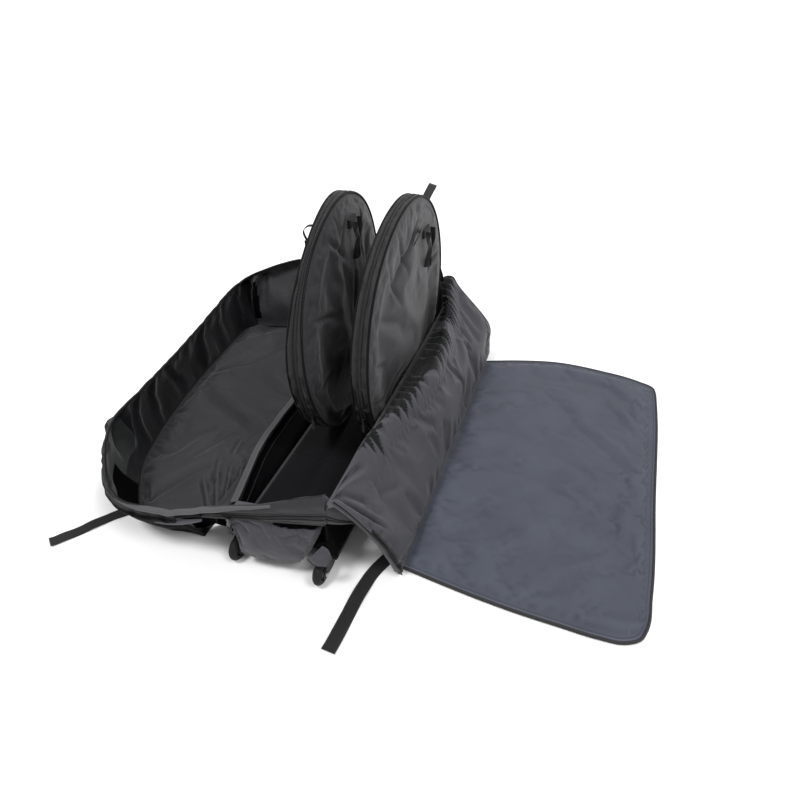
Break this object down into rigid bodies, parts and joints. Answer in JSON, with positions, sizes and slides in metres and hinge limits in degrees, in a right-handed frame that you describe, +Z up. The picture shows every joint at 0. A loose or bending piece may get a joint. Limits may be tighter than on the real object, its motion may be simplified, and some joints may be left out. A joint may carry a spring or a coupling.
{
  "type": "soft bike travel bag",
  "caption": "Soft-sided bike travel bag standing open: rolling padded base, fold-out half shell, fold-over side wall with a flat lid, and round wheel bags that lift out.",
  "frame": {"origin": "middle of the underside of the full-width foot at the far end of the base, which stands on the floor", "axes": "+X across the bag, from the fold-out half shell on the left to the lid on the right; +Y along the bag, from the wheels to the foot; +Z up"},
  "size_m": [1.788, 1.5596, 0.8089],
  "materials": {
    "tray_plastic": "moulded, fine grain",
    "board": "stiffening sheet",
    "padding": "foam under fabric",
    "foot_rubber": "moulded",
    "housing_plastic": "moulded, fine grain",
    "tyre": "smooth",
    "hub_plastic": "moulded",
    "steel": "plain",
    "dark_fabric": "woven, matt",
    "grey_fabric": "woven, matt, padded",
    "floor_fabric": "woven lining",
    "lid_fabric": "smooth coated weave",
    "webbing": "ribbed webbing",
    "zip": "coil and tape",
    "piping": "bound cord",
    "slider_metal": "black",
    "pull_cord": "cord"
  },
  "bodies": {
    "base": {"skid_tray": "tray_plastic", "base_board": "board", "base_pad": "padding", "rear_foot": "foot_rubber", "left_wheel_housing": "housing_plastic", "right_wheel_housing": "housing_plastic", "left_wheel_axle_bolt": "steel", "right_wheel_axle_bolt": "steel", "near_end_strip": "grey_fabric", "near_end_panel": "grey_fabric", "left_corner_gusset": "dark_fabric", "right_corner_gusset": "dark_fabric", "main_zip": "zip", "far_end_wall": "dark_fabric", "right_side_wall": "dark_fabric", "left_rim_pad": "grey_fabric", "left_rim_piping": "piping"},
    "left_wheel": {"left_wheel_tyre": "tyre", "left_wheel_hub": "hub_plastic", "left_wheel_bearing": "steel"},
    "right_wheel": {"right_wheel_tyre": "tyre", "right_wheel_hub": "hub_plastic", "right_wheel_bearing": "steel"},
    "right_wall": {"right_shoulder": "grey_fabric", "shoulder_zip_edge": "zip", "right_strap": "webbing", "right_strap_anchor": "webbing"},
    "lid": {"lid_panel": "lid_fabric", "lid_binding": "piping"},
    "left_shell": {"left_floor_panel": "floor_fabric", "left_near_gusset": "dark_fabric", "left_outer_gusset": "dark_fabric", "left_far_gusset": "dark_fabric", "left_rim_zip": "zip", "left_strap": "webbing", "left_corner_tab": "webbing"},
    "left_wheel_bag": {"left_bag_left_face": "grey_fabric", "left_bag_right_face": "grey_fabric", "left_bag_gusset": "dark_fabric", "left_bag_zip": "zip", "left_bag_handle_patch": "webbing", "left_bag_side_loop": "webbing"},
    "right_wheel_bag": {"right_bag_left_face": "grey_fabric", "right_bag_right_face": "grey_fabric", "right_bag_gusset": "dark_fabric", "right_bag_zip": "zip", "right_bag_handle_patch": "webbing", "right_bag_top_loop": "webbing"},
    "left_handle": {"left_bag_handle": "webbing"},
    "right_handle": {"right_bag_handle": "webbing"},
    "left_slider": {"left_bag_slider": "slider_metal"},
    "right_slider": {"right_bag_slider": "slider_metal"},
    "left_slider_pull": {"left_bag_pull": "pull_cord"},
    "right_slider_pull": {"right_bag_pull": "pull_cord"},
    "main_slider": {"main_zip_slider": "slider_metal"},
    "main_slider_pull": {"main_zip_pull": "pull_cord"}
  },
  "joints": [
    {"name": "left_wheel_spin", "type": "hinge", "parent": "base", "child": "left_wheel", "pos_m": [-0.128, -1.1, 0.036], "axis": [1, 0, 0], "continuous": true},
    {"name": "right_wheel_spin", "type": "hinge", "parent": "base", "child": "right_wheel", "pos_m": [0.128, -1.1, 0.036], "axis": [1, 0, 0], "continuous": true},
    {"name": "left_shell_fold", "type": "hinge", "parent": "base", "child": "left_shell", "pos_m": [-0.2621, -0.5, 0.012], "axis": [0, 1, 0], "range_deg": [0, 60]},
    {"name": "right_wall_fold", "type": "hinge", "parent": "base", "child": "right_wall", "pos_m": [0.157, -0.48, 0.2864], "axis": [0, -1, 0], "range_deg": [0, 20]},
    {"name": "lid_fold", "type": "hinge", "parent": "right_wall", "child": "lid", "pos_m": [0.329, -0.45, 0.014], "axis": [0, -1, 0], "range_deg": [0, 80]},
    {"name": "left_bag_lift", "type": "slide", "parent": "base", "child": "left_wheel_bag", "axis": [0, 0, 1], "range_m": [0, 0.9]},
    {"name": "right_bag_lift", "type": "slide", "parent": "base", "child": "right_wheel_bag", "axis": [0, 0, 1], "range_m": [0, 0.9]},
    {"name": "left_handle_swing", "type": "hinge", "parent": "left_wheel_bag", "child": "left_handle", "pos_m": [-0.02909, -0.36934, 0.7334], "axis": [0.1115, -0.9938, 0], "range_deg": [0, 40]},
    {"name": "right_handle_swing", "type": "hinge", "parent": "right_wheel_bag", "child": "right_handle", "pos_m": [0.1616, -0.237, 0.6742], "axis": [0, -1, 0], "range_deg": [0, 50]},
    {"name": "left_zip_run", "type": "hinge", "parent": "left_wheel_bag", "child": "left_slider", "pos_m": [-0.076, -0.423, 0.4374], "axis": [0.9938, 0.1115, 0], "range_deg": [-75, 20]},
    {"name": "right_zip_run", "type": "hinge", "parent": "right_wheel_bag", "child": "right_slider", "pos_m": [0.109, -0.385, 0.4374], "axis": [1, 0, 0], "range_deg": [-75, 20]},
    {"name": "left_pull_swing", "type": "hinge", "parent": "left_slider", "child": "left_slider_pull", "pos_m": [-0.03881, -0.75454, 0.26001], "axis": [-0.9938, -0.1115, 0], "range_deg": [-10, 80]},
    {"name": "right_pull_swing", "type": "hinge", "parent": "right_slider", "child": "right_slider_pull", "pos_m": [0.109, -0.71862, 0.26001], "axis": [-1, 0, 0], "range_deg": [-10, 80]},
    {"name": "main_zip_run", "type": "slide", "parent": "base", "child": "main_slider", "axis": [0.9826, 0.113, 0.1474], "range_m": [-0.06, 0.23]},
    {"name": "main_pull_swing", "type": "hinge", "parent": "main_slider", "child": "main_slider_pull", "pos_m": [-0.107, -1.1359, 0.19735], "axis": [-1, 0, 0], "range_deg": [0, 80]}
  ]
}
